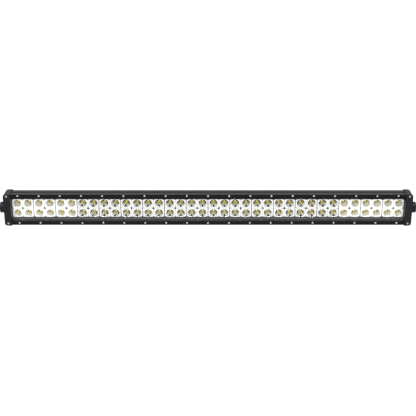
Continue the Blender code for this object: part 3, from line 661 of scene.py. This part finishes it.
def bolt_bore(side):
    """The cutter for the recessed washer seat and the blind M8 hole, with a chamfer at its mouth."""
    profile = [(1.0, 0.0), (1.0, 10.8), (0.0, 10.8), (-0.3, 10.5), (-1.0, 10.5), (-1.0, 4.8)]
    profile += [(-1.5, 4.3), (-11.2, 4.3), (-11.2, 0.0)]
    return turned(profile, at(side * BOSS_X, BOSS_DEPTH, 0.0), (side, 0, 0), columns=64)


for word, side in (("left", -1), ("right", 1)):
    cap = add_to_scene(f"cast_cap_{word}", joined_mesh(f"cast_cap_{word}", [cap_body(side)]))
    cut_or_joined(cap, [[boss(side)]], "UNION")
    hollow = carried(pocket, (side * (CAP_INNER_X - 1.0), side * POCKET_X))
    holes = [side_hole(side, d, s * h) for d, h in SIDE_SCREWS for s in (1, -1)]
    holes.append(bolt_bore(side))
    through = STRIP_THICK - CAP_FRONT + 1.0
    fronts = [counterbore(side * FLANGE_SCREW_X, CAP_FRONT, s * SCREW_LINE, through) for s in (1, -1)]
    cut_or_joined(cap, [[hollow], holes, fronts], "DIFFERENCE")
    finish(cap, cast_coat, nodes=[f"end_cap_{word}"])
    print(cap.name, "faces:", len(cap.data.polygons))

# %% [markdown]
# ## Reflector modules
# A module is one moulding with four cups. Each cup is a paraboloid with the LED near its focus, so that a
# spot cup sends out a narrow beam. A flood cup is a little smaller, and shallow dimples on its wall spread
# the beam. One cell is a surface of angle and step: the cup wall, a rolled lip, a front plate that runs out
# to a square with soft corners, and a skirt. The back of the wall closes it, so each cell is a solid shell.

# %% Reflector cells
spot_low, spot_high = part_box("spot_reflector_1")
REFLECTOR_FRONT = (spot_low.y - FRONT) / MM
MODULE_HALF = (spot_high.z - spot_low.z) / 2 / MM
WALL_END = 3.9  # radius where the wall stops, clear of the LED's package
FOCUS_DEPTH = 15.5
LIP = 0.5
SPOT_MOUTH = 9.0
FLOOD_MOUTH = 8.6
CELL_COLUMNS = 96


def paraboloid(mouth, steps):
    """Radii and depths of a wall with radius^2 = 4 f (focus depth + f - depth). f makes it meet the lip."""
    reach = FOCUS_DEPTH - LIP
    f = (math.sqrt(reach**2 + mouth**2) - reach) / 2
    radius = WALL_END + (mouth - WALL_END) * steps
    return radius, FOCUS_DEPTH + f - radius**2 / (4 * f)


def cell(centre_x, row, column, mouth, dimple):
    """One cup's cell. row is 1 for the upper and -1 for the lower, column 1 for right and -1 for left.

    The plate's edge is |x / a|^n + |z / b|^n = 1: a square whose corners are soft where n is low, along the
    module's outside and at the screw in its middle, and crisp where it meets the next module.
    """
    angle = np.linspace(0.0, 2 * np.pi, CELL_COLUMNS, endpoint=False)
    outward = np.sin(angle) * row > 0.001
    to_next_module = np.cos(angle) * column > 0.001
    reach_x = np.where(to_next_module, CUP_PITCH / 2 - 0.45, CUP_PITCH / 2 - 0.05)
    reach_z = np.where(outward, MODULE_HALF - ROW_HEIGHT, ROW_HEIGHT - 0.06)
    power = np.where(outward, 9.0, np.where(to_next_module, 40.0, 6.0))
    sides = np.abs(np.cos(angle) / reach_x) ** power + np.abs(np.sin(angle) / reach_z) ** power
    edge = sides ** (-1 / power)
    fillet = np.where(to_next_module & (np.abs(np.cos(angle)) > 0.6), 0.9, 0.4)

    steps = np.linspace(0.0, 1.0, 24)[:, None]
    wall_radius, wall_depth = paraboloid(mouth, steps)
    wave = np.cos(12 * angle + 6 * np.pi * steps) * np.sin(np.pi * steps)
    wall_radius = wall_radius + dimple * wave
    turn = np.radians([30.0, 60.0, 90.0])[:, None]
    lip_radius = mouth + LIP * (1 - np.cos(turn)) + 0 * angle
    lip_depth = LIP * (1 - np.sin(turn)) + 0 * angle
    out = np.array([0.5, 1.0])[:, None]
    plate_radius = mouth + LIP + (edge - fillet - mouth - LIP) * out
    skirt_radius = edge - fillet + fillet * np.sin(turn)
    skirt_depth = fillet * (1 - np.cos(turn))
    back_radius = np.stack([edge, edge - 0.5, 0.5 * (edge + mouth) + 0.3])
    back_depth = np.array([4.0, 4.0, 1.4])[:, None] + 0 * angle
    behind_radius = wall_radius[::-1] + 0.6
    behind_depth = np.maximum(wall_depth[::-1] + 0.1, 1.5)

    radius = [wall_radius, lip_radius, plate_radius, skirt_radius, back_radius, behind_radius]
    depth = [wall_depth + 0 * angle, lip_depth, 0 * plate_radius]
    depth += [skirt_depth, back_depth, behind_depth + 0 * angle]
    radius, depth = np.concatenate(radius), np.concatenate(depth)
    x = (centre_x + column * CUP_PITCH / 2 + radius * np.cos(angle)) * MM
    y = FRONT + (REFLECTOR_FRONT + depth) * MM
    z = MIDDLE + (row * ROW_HEIGHT + radius * np.sin(angle)) * MM
    return grid(np.stack([x, y, z], axis=-1), wrap_rows=True)


def reflector(name, node, mouth, dimple, material):
    low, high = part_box(node)
    middle = (low.x + high.x) / 2 / MM
    cells = [cell(middle, row, column, mouth, dimple) for row in (1, -1) for column in (-1, 1)]
    return finish(add_to_scene(name, joined_mesh(name, cells, 50.0)), material, nodes=[node])


reflector_nodes = sorted(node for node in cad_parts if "reflector" in node)
for node in reflector_nodes:
    if node.startswith("spot"):
        reflector(f"mirror_{node}", node, SPOT_MOUTH, 0.0, mirror_film)
    else:
        reflector(f"grained_{node}", node, FLOOD_MOUTH, 0.05, grained_film)
print("reflector modules:", len(reflector_nodes))

# %% [markdown]
# ## LED boards
# Each board is a plate of aluminium behind six modules. On it, one LED looks into each cup: a square ceramic
# package, and on it a dome of clear silicone over the yellow phosphor. The packages are one mesh per board
# and so are the domes, because a hundred small objects would only slow things down.

# %% LED boards, packages and domes
BOARD_THICK = 1.6
LED_SIDE = 5.0
LED_BODY = 2.0
DOME_HEIGHT = 2.0
DOME_RADIUS = 2.4


def led_places(node):
    """The x and height of each emitter on a board, from the board's own length and the cup pitch."""
    low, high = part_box(node)
    count = round((high.x - low.x) / (CUP_PITCH * MM))
    middle = (low.x + high.x) / 2 / MM
    along = middle + (np.arange(count) - (count - 1) / 2) * CUP_PITCH
    return [(float(x), height) for x in along for height in (-ROW_HEIGHT, ROW_HEIGHT)]


def package(x, height, front):
    """A square package with rounded corners, standing out of the board."""
    half = LED_SIDE / 2
    outline = rounded([(x - half, height - half), (x + half, height - half),
                       (x + half, height + half), (x - half, height + half)], 0.5, 3)
    rows = []
    for inset, depth in ((0.0, front + 0.2), (0.0, front - LED_BODY + 0.15), (0.15, front - LED_BODY)):
        scaled = (outline - (x, height)) * (1 - inset / half) + (x, height)
        depths = np.full(len(scaled), FRONT + depth * MM)
        rows.append(np.stack([scaled[:, 0] * MM, depths, MIDDLE + scaled[:, 1] * MM], axis=1))
    return grid(np.array(rows), ends=True)


def dome(x, height, base):
    """Half a ball of silicone on a short rim."""
    angle = np.radians(np.linspace(0.0, 90.0, 7))
    profile = [(-0.2, 0.0), (-0.2, DOME_RADIUS)]
    profile += [(DOME_HEIGHT * math.sin(a), DOME_RADIUS * math.cos(a)) for a in angle[:-1]]
    profile += [(DOME_HEIGHT, 0.0)]
    return turned(profile, at(x, base, height), (0, -1, 0), columns=20)


for word in ("left", "centre", "right"):
    node = f"led_board_{word}"
    low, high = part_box(node)
    board_front = (high.y - FRONT) / MM - BOARD_THICK
    half = (high.z - low.z) / 2 / MM
    plate = rounded([(board_front, -half), (board_front + BOARD_THICK, -half),
                     (board_front + BOARD_THICK, half), (board_front, half)], 0.2, 3)
    board = joined_mesh(f"led_plate_{word}", [carried(plate, (low.x / MM, high.x / MM))])
    finish(add_to_scene(f"led_plate_{word}", board), solder_mask, nodes=[node])
    places = led_places(node)
    bodies = joined_mesh(f"led_packages_{word}", [package(x, z, board_front) for x, z in places])
    finish(add_to_scene(f"led_packages_{word}", bodies), ceramic)
    domes = joined_mesh(f"led_domes_{word}", [dome(x, z, board_front - LED_BODY) for x, z in places])
    finish(add_to_scene(f"led_domes_{word}", domes), phosphor)
    print(node, "emitters:", len(places))

# %% [markdown]
# ## Small screws
# Every small screw is a button head with a hexagon socket, of stainless steel, or blackened in the modules.
# Its head is a profile turned round the axis, except that the rows inside the socket follow a hexagon:
# radius = flat / cos(angle to the nearest flat).


# %% Screws
M3_BUTTON = (2.75, 1.9, 1.5)  # head radius, head height, shank radius
M4_BUTTON = (3.5, 1.75, 2.0)
MODULE_BUTTON = (2.0, 1.3, 0.8)


def hexagon(half_flats, columns, turn=0.0):
    """The radius of a hexagon at each of some evenly spaced angles."""
    angle = np.linspace(0.0, 2 * np.pi, columns, endpoint=False) + turn
    return half_flats / np.cos((angle + np.pi / 6) % (np.pi / 3) - np.pi / 6)


def button_screw(seat, axis, head_radius, head_height, shank_radius, length, columns=24):
    """A screw whose seat is at a point and whose head points along axis. Sizes in millimetres."""
    flats = 0.42 * head_radius
    crown = arc((0.0, 0.0), 1.0, 15.0, 62.0, 5)
    rows = [(-length, 0.0), (-length, 0.7 * shank_radius), (-length + 0.5, shank_radius), (0.0, shank_radius)]
    rows += [(0.0, head_radius), (0.25 * head_height, head_radius)]
    rows += [(head_height * (0.1 + 0.98 * s), head_radius * c) for c, s in crown]
    rows += [(head_height, 1.25 * flats)]
    heights = [h for h, _ in rows]
    radii = [np.full(columns, r) for _, r in rows]
    for height, size in ((head_height, 1.0), (head_height * 0.9, 0.94), (head_height * 0.35, 0.94)):
        heights.append(height)
        radii.append(hexagon(flats * size, columns))
    heights.append(head_height * 0.3)
    radii.append(np.zeros(columns))
    return grid(around(np.array(heights) * MM, np.array(radii) * MM, seat, axis))


front_seat = RECESS_DEPTH - 0.02
for word, side in (("top", 1), ("bottom", -1)):
    for number, x in enumerate(screw_places, 1):
        name = f"strip_screw_{word}_{number:02d}"
        screw = button_screw(at(x, front_seat, side * SCREW_LINE), (0, -1, 0), *M3_BUTTON, 9.0)
        finish(add_to_scene(name, joined_mesh(name, [screw])), stainless)
print("strip screws:", 2 * STRIP_SCREWS)

for word, side in (("left", -1), ("right", 1)):
    for level, sign in (("top", 1), ("bottom", -1)):
        node = f"cap_front_screw_{word}_{level}"
        seat = at(side * FLANGE_SCREW_X, CAP_FRONT + front_seat, sign * SCREW_LINE)
        screw = button_screw(seat, (0, -1, 0), *M3_BUTTON, 13.0)
        finish(add_to_scene(f"button_{node}", joined_mesh(node, [screw])), stainless, nodes=[node])
    for number in range(1, 5):
        node = f"cap_side_screw_{word}_{number}"
        low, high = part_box(node)
        seat = np.array([side * (CAP_X - 1.8) * MM, (low.y + high.y) / 2, (low.z + high.z) / 2])
        screw = button_screw(seat, (side, 0, 0), *M4_BUTTON, 12.0)
        finish(add_to_scene(f"button_{node}", joined_mesh(node, [screw])), stainless, nodes=[node])
print("cap screws: 12")

MODULE_SCREW_DEPTH = 2.2
for index, node in enumerate(reflector_nodes):
    low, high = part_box(node)
    seat = at((low.x + high.x) / 2 / MM, REFLECTOR_FRONT + MODULE_SCREW_DEPTH, 0.0)
    name = f"module_screw_{index + 1:02d}"
    screw = button_screw(seat, (0, -1, 0), *MODULE_BUTTON, 6.0)
    finish(add_to_scene(name, joined_mesh(name, [screw])), blackened)
print("module screws:", len(reflector_nodes))

# %% [markdown]
# ## Mounting bolts and their washers
# An M8 hexagon bolt has a 30 degree chamfer on its head, which is where the curved edges on each flat come
# from: the head's height at a corner is lower than at a flat. Its thread is a helix, radius = 4 mm less a
# triangle wave of (distance / pitch - turns), so the thread is real geometry and shows when the bolt is
# backed out. The washer is punched, with one soft edge, and the spring washer is a split ring.

# %% Bolts and washers
PITCH = 1.25
THREAD_RADIUS = 4.0
HEAD_ACROSS = 13.0
HEAD_HEIGHT = 5.3


def bolt_head(side, base, columns=72):
    """A hexagon head from base outwards, with a low washer face under it."""
    across, height = HEAD_ACROSS, HEAD_HEIGHT
    full = hexagon(across / 2, columns)
    flat_radius = 0.94 * across / 2
    top = height - np.maximum(full - flat_radius, 0.0) * math.tan(math.radians(30.0))
    radii = [np.zeros(columns), np.full(columns, THREAD_RADIUS), np.full(columns, 5.7)]
    radii += [full - 0.15, full, full]
    heights = [np.zeros(columns)] * 3 + [np.full(columns, 0.1), np.full(columns, 0.3), top]
    radii += [np.full(columns, flat_radius), np.full(columns, flat_radius * 0.6), np.zeros(columns)]
    heights += [np.full(columns, height)] + [np.full(columns, height - 0.25)] * 2
    points = around(np.array(heights) * MM, np.array(radii) * MM, base, (side, 0, 0))
    return grid(points)


def bolt_thread(side, base, length, columns=36):
    """A threaded shank from base inwards."""
    rows = int(length / PITCH * 8)
    distance = np.linspace(0.0, length, rows)[:, None]
    turns = np.linspace(0.0, 1.0, columns, endpoint=False)[None, :]
    wave = np.abs((distance / PITCH - side * turns) % 1.0 - 0.5) * 2
    tip = np.clip((length - distance) / 1.2, 0.0, 1.0)
    radii = (THREAD_RADIUS - 0.65 * wave) * (0.8 + 0.2 * tip)
    points = around(-distance[:, 0] * MM, radii * MM, base, (side, 0, 0))
    return grid(points, ends=True)


def spring_ring(side, base, inner, outer, thick, columns=49):
    """A split ring of rounded square section, carried round the bolt and leaving a slit of 14 degrees."""
    section = rounded([(0.0, inner), (thick, inner), (thick, outer), (0.0, outer)], 0.3, 3)
    angle = np.radians(np.linspace(97.0, 443.0, columns))[:, None]
    axis, first, second = directions((side, 0, 0))
    across = np.cos(angle)[..., None] * first + np.sin(angle)[..., None] * second
    points = base + section[None, :, :1] * MM * axis + section[None, :, 1:] * MM * across
    return grid(points, ends=True)


for word, side in (("left", -1), ("right", 1)):
    seat_x = (BOSS_X - 1.0) * side
    node = f"{word}_flat_washer"
    inner, outer = 4.3, 10.0
    profile = [(0.3, inner), (0.3, outer - 0.1), (0.4, outer), (1.5, outer)]
    profile += [(1.9, outer - 0.4), (1.9, inner + 0.2), (1.7, inner)]
    ring = turned(profile, at(seat_x, BOSS_DEPTH, 0.0), (side, 0, 0), 64, ring=True)
    washer = add_to_scene(f"punched_{node}", joined_mesh(node, [ring]))
    finish(washer, stainless, body=f"{word}_washers", nodes=[node])
    node = f"{word}_spring_washer"
    ring = spring_ring(side, at(seat_x + side * 2.2, BOSS_DEPTH, 0.0), 4.3, 7.5, 2.0)
    spring = add_to_scene(f"split_{node}", joined_mesh(node, [ring]))
    finish(spring, stainless, body=f"{word}_washers", nodes=[node])
    node = f"{word}_mounting_bolt"
    low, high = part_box(node)
    head_base = at(seat_x + side * 4.5, BOSS_DEPTH, 0.0)
    tip_length = (high.x - low.x) / MM - HEAD_HEIGHT
    parts = [bolt_head(side, head_base), bolt_thread(side, head_base, tip_length)]
    bolt = add_to_scene(f"hexagon_{node}", joined_mesh(node, parts, 25.0))
    finish(bolt, stainless, body=f"{word}_bolt", nodes=[node])
    print(bolt.name, "faces:", len(bolt.data.polygons))

# %% [markdown]
# ## Cable gland and breather vent
# The power lead leaves through a gland: a threaded body with a hexagon flange, a rubber seal, and a nut that
# squeezes the seal. The nut's grip flutes are a wave taken off its radius. The vent lets the housing breathe
# as it warms and cools. A cap with notches keeps the spray off its membrane.

# %% Gland and vent
nut_low, nut_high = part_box("gland_nut")
body_low, body_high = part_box("gland_body")
seal_low, seal_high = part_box("gland_seal")
gland_x = (body_low.x + body_high.x) / 2 / MM
gland_seat = (nut_low.y - FRONT) / MM - 5.3


def fluted(rows, centre, axis, lobes, columns=96, ring=True):
    """A turned profile of (height, radius, depth of flute) rows. Flutes are |cos|^3 waves cut inwards."""
    rows = np.array(rows, float)
    angle = np.linspace(0.0, 2 * np.pi, columns, endpoint=False)
    radii = rows[:, 1:2] - rows[:, 2:] * np.abs(np.cos(lobes * angle / 2))[None, :] ** 3
    return grid(around(rows[:, 0] * MM, radii * MM, centre, axis), wrap_rows=ring)


def gland_body(columns=96):
    """Thread, hexagon flange and neck in one closed surface, with the bore through the middle."""
    tail = (body_low.y - FRONT) / MM - gland_seat
    neck = (body_high.y - FRONT) / MM - gland_seat
    hexagonal = hexagon(10.6, columns)
    ring = np.ones(columns)
    capped = np.minimum(hexagonal, 12.1)
    rows = [(tail, 5.0 * ring), (tail, 7.5 * ring), (tail + 0.5, 8.0 * ring), (-0.05, 8.0 * ring)]
    rows += [(0.0, capped - 0.4), (0.4, capped), (4.4, capped), (5.0, capped - 0.7)]
    rows += [(5.0, 8.0 * ring), (neck - 0.5, 8.0 * ring), (neck, 7.5 * ring), (neck, 5.0 * ring)]
    heights = np.array([h for h, _ in rows]) * MM
    radii = np.array([r for _, r in rows]) * MM
    return grid(around(heights, radii, at(gland_x, gland_seat, 0.0), (0, 1, 0)), wrap_rows=True)


body = add_to_scene("moulded_gland_body", joined_mesh("gland_body", [gland_body()]))
finish(body, nylon, nodes=["gland_body"])

nut_start = (nut_low.y - FRONT) / MM - gland_seat
nut_end = (nut_high.y - FRONT) / MM - gland_seat
seal_end = (seal_high.y - FRONT) / MM - gland_seat
rows = [(nut_start, 8.3, 0.0), (nut_start, 9.9, 0.3), (nut_start + 0.4, 10.3, 0.6)]
rows += [(seal_end - 1.5, 10.3, 0.6), (seal_end, 9.8, 0.3), (nut_end - 1.2, 7.6, 0.0)]
rows += [(nut_end - 0.3, 5.9, 0.0), (nut_end, 5.3, 0.0), (nut_end, 4.2, 0.0)]
rows += [(nut_end - 0.5, 3.8, 0.0), (seal_end + 0.3, 3.8, 0.0), (seal_end + 0.3, 8.3, 0.0)]
nut = joined_mesh("gland_nut", [fluted(rows, at(gland_x, gland_seat, 0.0), (0, 1, 0), 18)], 30.0)
finish(add_to_scene("fluted_gland_nut", nut), nylon, nodes=["gland_nut"])

seal_start = (seal_low.y - FRONT) / MM - gland_seat
profile = [(seal_start, 4.0), (seal_start, 7.6), (seal_start + 0.4, 8.0), (seal_end - 1.5, 8.0)]
profile += [(seal_end, 6.8), (seal_end, 4.0), (seal_end - 0.5, 3.5), (seal_start + 0.5, 3.5)]
seal = turned(profile, at(gland_x, gland_seat, 0.0), (0, 1, 0), 48, ring=True)
seal_mesh = joined_mesh("gland_seal", [seal])
finish(add_to_scene("tapered_gland_seal", seal_mesh), black_epdm, nodes=["gland_seal"])

vent_low, vent_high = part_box("breather_vent")
vent_x = (vent_low.x + vent_high.x) / 2 / MM
vent_end = (vent_high.y - FRONT) / MM
vent_start = (vent_low.y - FRONT) / MM
rows = [(vent_start, 0.0, 0.0), (vent_start, 3.6, 0.0), (vent_start + 0.4, 4.0, 0.0)]
rows += [(vent_end - 5.0, 4.0, 0.0), (vent_end - 5.0, 6.6, 0.5), (vent_end - 4.6, 7.0, 0.9)]
rows += [(vent_end - 1.6, 7.0, 0.9), (vent_end - 0.6, 6.4, 0.4), (vent_end - 0.1, 5.2, 0.0)]
rows += [(vent_end, 3.8, 0.0), (vent_end - 0.4, 3.4, 0.0), (vent_end - 0.4, 0.0, 0.0)]
vent = fluted(rows, at(vent_x, 0.0, 0.0), (0, 1, 0), 8, ring=False)
vent_mesh = joined_mesh("breather_vent", [vent], 30.0)
finish(add_to_scene("notched_breather_vent", vent_mesh), nylon, nodes=["breather_vent"])
print("gland at x", round(gland_x, 1), "vent at x", round(vent_x, 1))

# %% [markdown]
# ## Floor and world
# The bar lies on a flat sheet in an even white surround, as in a product studio. The sheet has a faint paper
# texture and glows by itself at full white, so no shadow darkens it.

# %% Floor and world
floor_finish, tree, place = new_material("white_sweep")
shader = add_node(tree, "ShaderNodeBsdfPrincipled", {
    "Base Color": tone_between(tree, noise(tree, place, 400.0, 2.0), "#4A4A4A", "#505050"),
    "Roughness": 0.9,
    "Emission Color": linear("#FFFFFF"),
    "Emission Strength": 1.0,
})
shown(floor_finish, tree, shader)
reach = 12.0  # metres from the middle to each side
points = np.array([[(-reach, -reach, 0.0), (reach, -reach, 0.0)],
                   [(-reach, reach, 0.0), (reach, reach, 0.0)]])
floor = add_to_scene("floor", joined_mesh("floor", [grid(points, wrap_columns=False)]))
floor.data.materials.append(floor_finish)

world = bpy.data.worlds.new("studio")
bpy.context.scene.world = world
world.use_nodes = True
background = world.node_tree.nodes["Background"]
background.inputs["Color"].default_value = linear("#FFFFFF")
background.inputs["Strength"].default_value = 1.0
print("floor side in metres:", 2 * reach, "world:", world.name)

# %% [markdown]
# ## Softbox
# One long softbox hangs above the bar and in front of it, aimed straight down. It lights the top and the
# front edges.

# %% Softbox
softbox_data = bpy.data.lights.new("softbox", "AREA")
softbox_data.shape = "RECTANGLE"
softbox_data.size = 3.0
softbox_data.size_y = 0.6
softbox_data.energy = 120.0
softbox = bpy.data.objects.new("softbox", softbox_data)
softbox.location = (0.0, -0.74, 1.9)
bpy.context.scene.collection.objects.link(softbox)
print("softbox in metres:", softbox_data.size, "by", round(softbox_data.size_y, 2))

# %% [markdown]
# ## Black card
# The mirrors of the cups show whatever faces them. A black card stands just behind the camera, hidden from
# it, and the polished cups reflect it as the dark marks that give them depth.

# %% Black card
black_card, tree, place = new_material("black_card")
felt_tone = tone_between(tree, noise(tree, place, 2.0, 2.0), "#050505", "#0B0B0B")
shader = add_node(tree, "ShaderNodeBsdfPrincipled", {"Base Color": felt_tone, "Roughness": 1.0})
shown(black_card, tree, shader)
CARD_HALF_WIDTH = 1.6  # metres
CARD_HALF_HEIGHT = 0.42
across = np.array([1.0, 0.0, 0.0]) * CARD_HALF_WIDTH
upward = np.array([0.0, math.sin(CAMERA_ELEVATION), math.cos(CAMERA_ELEVATION)]) * CARD_HALF_HEIGHT
middle = aim + offset * 1.04
points = np.array([[middle - across - upward, middle + across - upward],
                   [middle - across + upward, middle + across + upward]])
card = add_to_scene("card_round_the_camera", joined_mesh("card", [grid(points, wrap_columns=False)]))
card.data.materials.append(black_card)
card.visible_camera = False
print("card in metres:", 2 * CARD_HALF_WIDTH, "by", 2 * CARD_HALF_HEIGHT)

# %% [markdown]
# ## Tone
# The tone is the plain standard one, so that full white stays white.

# %% Tone
scene = bpy.context.scene
scene.view_settings.view_transform = "Standard"
scene.view_settings.look = "None"
scene.view_settings.exposure = 0.0
print("view transform:", scene.view_settings.view_transform)
